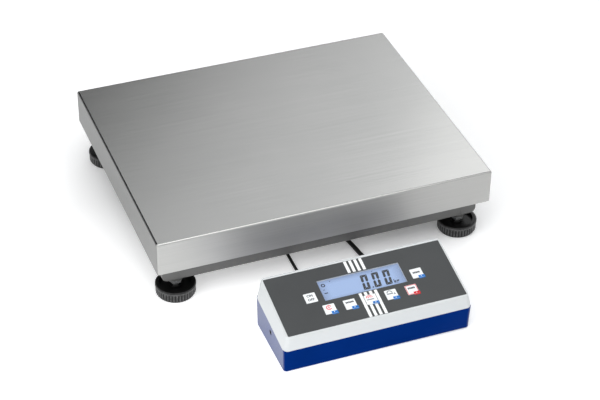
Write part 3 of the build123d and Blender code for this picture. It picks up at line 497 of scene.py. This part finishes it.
def coil(centre, start_deg, sense, total_deg, r0, z0, shifts, climbs, n=16):
    """Control points of wound turns. shifts and climbs are (from, to, change) in travelled degrees and millimetres."""
    out, step = [], 360.0 / n
    k = 1.0 / cos(radians(step / 2))
    a = -step / 2
    while a <= total_deg + step / 2 + 0.01:
        r = r0 + sum(d * ease(a, a0, a1) for a0, a1, d in shifts)
        z = z0 + sum(d * ease(a, a0, a1) for a0, a1, d in climbs)
        th = radians(start_deg + sense * a)
        out.append((centre[0] + r * k * cos(th), centre[1] + r * k * sin(th), z))
        a += step
    return out


SIG_D, PWR_D = 6.6, 4.6
sig_gap, pwr_gap = 6.72, 4.7
SIG_EXIT = (62.0, -162.8052, 25.0)
SIG = [
    SIG_EXIT, (61.7, -148.0, 24.6), (60.4, -126.0, 14.5), (57.4, -103.0, 5.0),
    (54.8, -72.0, 3.5), (48.0, -36.0, 3.6), (28.0, 0.0, 3.5), (-2.0, 36.0, 3.6),
    (-32.0, 76.0, 3.5), (-52.0, 122.0, 3.6), (-60.2, 164.0, 3.5), (-61.8, 184.0, 3.5),
]
SIG += coil((-17.0, 206.0), 180.0, -1, 1980.0, 43.6, 3.5,
            [(360, 420, -sig_gap), (720, 780, -sig_gap), (1310, 1375, sig_gap), (1670, 1735, sig_gap)],
            [(1020, 1080, sig_gap)])
SIG += [(27.0, 181.0, 12.5), (25.0, 166.0, 25.0), (23.2, 150.0, 48.0), (22.4, 136.0, 68.0), (22.0, 120.1, 74.0)]
sig = nurbs("signal_cable_run", SIG, SIG_D, M["cable"])
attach(sig, "root")
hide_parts("signal_cable", "signal_cable_coil", "signal_cable_tail")

PWR_EXIT = (-45.0, -146.5083, 20.0)
PWR = [
    PWR_EXIT, (-44.8, -134.0, 19.6), (-43.6, -118.0, 11.5), (-42.0, -100.0, 3.8),
    (-41.0, -72.0, 2.5), (-40.5, -44.0, 2.6), (-48.0, -16.0, 2.5), (-62.0, 8.0, 2.6), (-73.5, 28.0, 2.5),
    (-76.0, 38.0, 2.5),
]
PWR += coil((-108.0, 54.0), 0.0, 1, 2610.0, 31.6, 2.5,
            [(360, 420, -pwr_gap), (720, 780, -pwr_gap), (1310, 1375, pwr_gap), (1670, 1735, pwr_gap),
             (2255, 2320, -pwr_gap)],
            [(1020, 1080, pwr_gap), (1965, 2025, pwr_gap)])
PWR += [(-121.0, 82.6, 12.6), (-129.0, 85.4, 14.2), (-136.0, 88.0, 15.6)]
pwr = nurbs("power_lead_run", PWR, PWR_D, M["cable"])
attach(pwr, "root")
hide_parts("power_lead", "power_lead_coil", "power_lead_tail")


# ------------------------------------------------- prints on the keypad, and the digits
FACE = Matrix.Translation(on_face(0, 0, 0)) @ Matrix((
    (MM, 0, 0, 0), (0, cos(TA) * MM, -sin(TA) * MM, 0), (0, sin(TA) * MM, cos(TA) * MM, 0), (0, 0, 0, 1)))


def add_piece(name, bm, mat, body):
    """Takes a mesh drawn in millimetres on the keypad face and lays it there."""
    bmesh.ops.recalc_face_normals(bm, faces=bm.faces)
    bm.transform(FACE)
    me = bpy.data.meshes.new(name)
    bm.to_mesh(me)
    bm.free()
    me.materials.append(mat)
    obj = bpy.data.objects.new(name, me)
    scene.collection.objects.link(obj)
    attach(obj, body)
    return obj


def prism(bm, loop, t0, t1):
    lo = [bm.verts.new((x, s, t0)) for x, s in loop]
    hi = [bm.verts.new((x, s, t1)) for x, s in loop]
    bm.faces.new(lo[::-1])
    bm.faces.new(hi)
    for k in range(len(loop)):
        n = (k + 1) % len(loop)
        bm.faces.new((lo[k], lo[n], hi[n], hi[k]))


def hoop(bm, outer, inner, t0, t1):
    """A closed band between two loops of the same number of points."""
    rings = [[bm.verts.new((x, s, t)) for x, s in loop] for loop, t in
             ((outer, t0), (inner, t0), (inner, t1), (outer, t1))]
    for k in range(len(outer)):
        n = (k + 1) % len(outer)
        for a in range(4):
            b = (a + 1) % 4
            bm.faces.new((rings[a][k], rings[a][n], rings[b][n], rings[b][k]))


def prints(name, loops, t0, t1, mat, body="root"):
    bm = bmesh.new()
    for loop in loops:
        prism(bm, loop, t0, t1)
    return add_piece(name, bm, M[mat], body)


def box(x0, x1, s0, s1):
    return [(x0, s0), (x1, s0), (x1, s1), (x0, s1)]


def disc(x, s, r, n=32, a0=0.0, a1=360.0):
    full = abs(a1 - a0) >= 359.9
    m = n if full else n + 1
    return [(x + r * cos(radians(a0 + (a1 - a0) * k / n)), s + r * sin(radians(a0 + (a1 - a0) * k / n)))
            for k in range(m)]


def arc_band(x, s, r, w, a0, a1, n=20):
    return disc(x, s, r, n, a0, a1) + disc(x, s, r - w, n, a0, a1)[::-1]


def lettering(name, body_text, x, s, size, t0, t1, mat, body):
    cu = bpy.data.curves.new(name, "FONT")
    cu.body = body_text
    cu.size = size
    cu.extrude = (t1 - t0) / 2
    cu.offset = 0.030 * size
    cu.align_x, cu.align_y = "CENTER", "CENTER"
    tmp = bpy.data.objects.new(name + "_font", cu)
    scene.collection.objects.link(tmp)
    bpy.context.view_layer.update()
    me = bpy.data.meshes.new_from_object(tmp.evaluated_get(bpy.context.evaluated_depsgraph_get()))
    bm = bmesh.new()
    bm.from_mesh(me)
    bmesh.ops.remove_doubles(bm, verts=bm.verts, dist=0.002)
    bm.transform(Matrix.Translation((x, s, (t0 + t1) / 2)))
    bpy.data.objects.remove(tmp)
    bpy.data.curves.remove(cu)
    bpy.data.meshes.remove(me)
    return add_piece(name, bm, M[mat], body)


# plain white stripes of one width, above and below the display window and round key 4
STRIPE_W, STRIPE_GAP = 4.2, 3.2
stripes = []
for k in range(4):
    a = 136.4 - 2 * STRIPE_W - 1.5 * STRIPE_GAP + k * (STRIPE_W + STRIPE_GAP)
    b = a + STRIPE_W
    stripes.append(box(a, b, 83.6, 103.9))
    x0, x1 = 136.4 - 8.6, 136.4 + 8.6
    if b <= x0 or a >= x1:
        stripes.append(box(a, b, 4.3, 46.2))
    elif a >= x0 and b <= x1:
        stripes.append(box(a, b, 4.3, 24.0))
        stripes.append(box(a, b, 40.8, 46.2))
    elif a < x0:
        stripes.append([(a, 4.3), (b, 4.3), (b, 24.0), (x0, 24.0), (x0, 40.8), (b, 40.8), (b, 46.2), (a, 46.2)])
    else:
        stripes.append([(a, 4.3), (b, 4.3), (b, 46.2), (a, 46.2), (a, 40.8), (x1, 40.8), (x1, 24.0), (a, 24.0)])
prints("foil_print_stripes", stripes, 0.08, 0.13, "ink_white")

# a corner tab on each of keys 2 to 7: one piece on the key, one on the foil round its corner
TAB_X, TAB_S = (0.2, 9.5), (-9.7, -4.3)


def key_tab(i, mat):
    kx, ks = KEYS[i]
    x0, x1, s0, s1 = kx + TAB_X[0], kx + TAB_X[1], ks + TAB_S[0], ks + TAB_S[1]
    kr, kb = kx + KEY_W / 2 - 0.05, ks - KEY_D / 2 + 0.05
    corner = [(kr - 0.8 + 0.8 * sin(radians(a)), kb + 0.8 - 0.8 * cos(radians(a))) for a in range(0, 91, 15)]
    prints("key_%d_tab" % (i + 1), [[(x0, kb)] + corner + [(kr, s1), (x0, s1)]],
           KEY_T - 0.02, KEY_T + 0.04, mat, "key_%d" % (i + 1))
    hr, hb = kx + KEY_W / 2 + 0.25, ks - KEY_D / 2 - 0.25
    r = 0.7
    out = [(x1 - r + r * sin(radians(a)), s0 + r - r * cos(radians(a))) for a in range(0, 91, 15)]
    prints("foil_tab_%d" % (i + 1), [[(x0, s0)] + out + [(x1, s1), (hr, s1), (hr, hb), (x0, hb)]],
           0.08, 0.13, mat)


for i in range(1, 7):
    key_tab(i, "ink_red" if i == 5 else "ink_blue")
    kx, ks = KEYS[i]
    cx, cs = kx + 4.2, ks - 6.1
    prints("key_%d_tab_mark" % (i + 1), [[(cx - 1.0, cs - 0.8), (cx + 1.0, cs - 0.8), (cx, cs + 0.9)]],
           KEY_T + 0.03, KEY_T + 0.07, "ink_white", "key_%d" % (i + 1))


def word_bar(cx, cs, n, w=1.25, h=1.9, gap=0.45):
    """A row of small plain blocks in place of a word."""
    a = cx - (n * w + (n - 1) * gap) / 2
    return [box(a + k * (w + gap), a + k * (w + gap) + w, cs - h / 2, cs + h / 2) for k in range(n)]


T0, T1 = KEY_T - 0.02, KEY_T + 0.04
lettering("key_1_on", "ON", KEYS[0][0], KEYS[0][1] + 3.4, 5.4, T0, T1, "ink_dark", "key_1")
lettering("key_1_off", "OFF", KEYS[0][0], KEYS[0][1] - 3.2, 5.4, T0, T1, "ink_dark", "key_1")
kx, ks = KEYS[1]
prints("key_2_sign", [arc_band(kx - 0.4, ks + 2.6, 4.0, 1.4, 20, 330), box(kx - 1.2, kx + 0.4, ks + 1.2, ks + 4.2)],
       T0, T1, "ink_pink", "key_2")
kx, ks = KEYS[2]
prints("key_3_sign", word_bar(kx + 0.2, ks + 3.4, 6, 1.6, 2.6, 0.35), T0, T1, "ink_dark", "key_3")
kx, ks = KEYS[3]
prints("key_4_sign_arcs", [arc_band(kx - 1.2, ks + 2.0, 5.2, 1.1, 15, 165), arc_band(kx - 1.2, ks + 2.0, 3.0, 1.2, 15, 165)],
       T0, T1, "ink_pink", "key_4")
prints("key_4_sign_bar", [box(kx - 6.0, kx + 4.2, ks - 1.0, ks + 0.8)], T0, T1, "ink_grey", "key_4")
kx, ks = KEYS[4]
prints("key_5_sign", [arc_band(kx - 1.6, ks + 3.0, 4.2, 1.5, 0, 180), box(kx - 6.0, kx + 2.8, ks + 0.4, ks + 2.4),
                      [(kx + 3.2, ks - 0.8), (kx + 6.4, ks - 0.8), (kx + 4.8, ks + 2.4)]], T0, T1, "ink_grey", "key_5")
kx, ks = KEYS[5]
bm = bmesh.new()
hoop(bm, box(kx - 8.0, kx + 8.0, ks - 7.75, ks + 7.75), box(kx - 7.1, kx + 7.1, ks - 6.85, ks + 6.85), T0, T1 - 0.01)
add_piece("key_6_outline", bm, M["ink_pink"], "key_6")
prints("key_6_sign", word_bar(kx, ks + 2.6, 5, 1.75, 2.9, 0.35), T0, T1, "ink_dark", "key_6")
kx, ks = KEYS[6]
prints("key_7_sign", word_bar(kx - 0.4, ks + 1.4, 5, 1.75, 2.8, 0.35), T0, T1, "ink_dark", "key_7")

# digits and small signs on the lit panel
P0, P1 = LCD_T - 0.03, LCD_T + 0.05
DIG_W, DIG_S0, DIG_S1, DIG_LEAN, STROKE = 9.9, 52.0, 77.2, 0.117, 3.7


def zero(x0):
    """The six strokes of a leaning seven-segment zero, with cut ends."""
    w, h, g = DIG_W, DIG_S1 - DIG_S0, 0.16
    k, mid = STROKE, h / 2
    flat = [
        [(g * 1.4, h), (w - g * 1.4, h), (w - k - g * 0.4, h - k), (k + g * 0.4, h - k)],
        [(g * 1.4, 0), (w - g * 1.4, 0), (w - k - g * 0.4, k), (k + g * 0.4, k)],
        [(0, h - g * 1.4), (k, h - k - g * 1.4), (k, mid + k / 2 + g), (k / 2, mid + g), (0, mid + k / 2 + g)],
        [(w, h - g * 1.4), (w - k, h - k - g * 1.4), (w - k, mid + k / 2 + g), (w - k / 2, mid + g), (w, mid + k / 2 + g)],
        [(0, g * 1.4), (k, k + g * 1.4), (k, mid - k / 2 - g), (k / 2, mid - g), (0, mid - k / 2 - g)],
        [(w, g * 1.4), (w - k, k + g * 1.4), (w - k, mid - k / 2 - g), (w - k / 2, mid - g), (w, mid - k / 2 - g)],
    ]
    return [[(x0 + x + DIG_LEAN * y, DIG_S0 + y) for x, y in seg] for seg in flat]


loops = []
for x0 in (134.6, 150.8, 166.8):
    loops += zero(x0)
loops.append([(147.3, 52.6), (149.3, 52.6), (149.6, 54.6), (147.6, 54.6)])
prints("lcd_digits", loops, P0, P1, "segment")
lettering("lcd_unit", "kg", 183.0, 54.9, 8.6, P0, P1, "segment_soft", "root")
bm = bmesh.new()
hoop(bm, disc(83.6, 75.2, 3.0), disc(83.6, 75.2, 1.5), P0, P1)
add_piece("lcd_ring", bm, M["segment_soft"], "root")
prints("lcd_marks", [box(80.6, 85.8, 60.6, 62.2), box(81.2, 83.4, 67.0, 68.0), [(93.6, 80.0), (95.8, 80.0), (94.7, 78.6)],
                     [(155.4, 80.4), (157.6, 80.4), (156.5, 79.0)]],
       P0, P1, "segment_soft")


# ------------------------------------------------------------- floor and light
def add_floor():
    """Pale plain sheet that glows faintly as painted light, most in front of the object on its left."""
    me = bpy.data.meshes.new("floor")
    s = 14.0
    me.from_pydata([(-s, -s, 0), (s, -s, 0), (s, s, 0), (-s, s, 0)], [], [(0, 1, 2, 3)])
    obj = bpy.data.objects.new("floor", me)
    scene.collection.objects.link(obj)
    m = Mat("floor_white", color=(0.93, 0.93, 0.93), rough=0.75, Specular_IOR_Level=0.25)
    m.color(m.ramp(m.noise(2.0, 2.0), (0.3, (0.925, 0.925, 0.925)), (0.7, (0.94, 0.94, 0.94))))
    # emission strongest near a point in front of the object and fading outwards: a painted pool of light that lifts
    # the shadows
    near = m.t.nodes.new("ShaderNodeVectorMath")
    near.operation = "DISTANCE"
    m.link(m.obj, near.inputs[0])
    near.inputs[1].default_value = (-0.24, -0.26, 0.0)
    painted_light_pool = m.maprange(near.outputs["Value"], 0.05, 0.42, 0.66, 0.14)
    m.b.inputs["Emission Color"].default_value = (1.0, 1.0, 1.0, 1.0)
    m.link(painted_light_pool, m.b.inputs["Emission Strength"])
    obj.data.materials.append(m.mat)


def area(name, at, look, size, power, color=(1, 1, 1), size_y=None):
    li = bpy.data.lights.new(name, "AREA")
    li.shape = "RECTANGLE"
    li.size = size
    li.size_y = size_y or size
    li.energy = power
    li.color = color
    obj = bpy.data.objects.new(name, li)
    obj.location = at
    obj.rotation_euler = (Vector(look) - Vector(at)).to_track_quat("-Z", "Y").to_euler()
    scene.collection.objects.link(obj)
    return obj


def add_world():
    """Pale studio: bright in front, a dim back wall on the left and a lit one on the right."""
    world = bpy.data.worlds.new("studio")
    world.use_nodes = True
    t = world.node_tree
    bg = t.nodes["Background"]
    bg.inputs["Color"].default_value = (0.97, 0.985, 1.0, 1)

    def calc(op, a, b=None):
        n = t.nodes.new("ShaderNodeMath")
        n.operation = op
        for k, v in enumerate((a, b)):
            if isinstance(v, (int, float)):
                n.inputs[k].default_value = v
            elif v is not None:
                t.links.new(v, n.inputs[k])
        return n.outputs[0]

    def fade(v, lo, hi, a, b):
        n = t.nodes.new("ShaderNodeMapRange")
        n.interpolation_type = "SMOOTHSTEP"
        for k, x in zip(("From Min", "From Max", "To Min", "To Max"), (lo, hi, a, b)):
            n.inputs[k].default_value = x
        t.links.new(v, n.inputs["Value"])
        return n.outputs[0]

    sep = t.nodes.new("ShaderNodeSeparateXYZ")
    t.links.new(t.nodes.new("ShaderNodeTexCoord").outputs["Generated"], sep.inputs[0])
    x, y, z = sep.outputs
    base = fade(y, 0.7, -0.7, 0.40, 0.80)
    turn = calc("ARCTAN2", x, y)
    rise = calc("ARCSINE", z)
    q = calc("ADD", turn, rise)
    wall = calc("ADD", fade(q, radians(46.5), radians(53.5), 0.0, 1.12),
                fade(q, radians(58.5), radians(64.0), 0.0, 0.16))
    here = calc("MULTIPLY", fade(rise, radians(4), radians(14), 0.0, 1.0), fade(rise, radians(56), radians(46), 0.0, 1.0))
    here = calc("MULTIPLY", here, calc("MULTIPLY", fade(turn, radians(-60), radians(-35), 0.0, 1.0),
                                       fade(turn, radians(80), radians(55), 0.0, 1.0)))
    total = calc("ADD", calc("MULTIPLY", wall, here), calc("MULTIPLY", base, calc("SUBTRACT", 1.0, here)))
    t.links.new(total, bg.inputs["Strength"])
    scene.world = world


add_floor()
add_world()
area("key_left", (-2.4, -1.0, 1.9), (0, 0, 0.05), 1.8, 26)
area("top_soft", (-0.1, -0.7, 3.0), (0, -0.1, 0), 2.6, 44)
area("back_right", (2.0, 2.1, 2.3), (0.2, 0.0, 0.1), 1.5, 4)
scene.view_settings.view_transform = "Standard"
scene.view_settings.look = "None"
scene.view_settings.exposure = 0.0
scene.view_settings.gamma = 1.0
